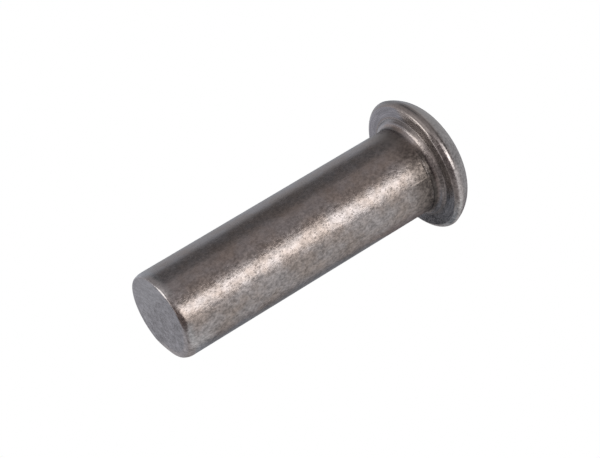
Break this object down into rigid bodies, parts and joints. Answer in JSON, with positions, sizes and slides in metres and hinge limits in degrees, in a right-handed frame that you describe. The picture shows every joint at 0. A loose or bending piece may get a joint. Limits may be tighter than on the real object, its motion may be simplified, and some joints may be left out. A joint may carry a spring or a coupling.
{
  "type": "solid rivet",
  "caption": "Solid rivet with a plain round shank, a low collar under a shallow domed head and a rolled tail edge, for joining plates by forming the tail.",
  "frame": {"origin": "centre of the flat tail face", "axes": "+Z along the shank towards the domed head; X and Y are free, since every section is round"},
  "size_m": [0.009, 0.009, 0.0223],
  "materials": {
    "steel": "plain dark steel, satin and finely pitted, with brown mottling on the shank and rim"
  },
  "bodies": {
    "root": {"rivet": "steel"}
  },
  "joints": []
}
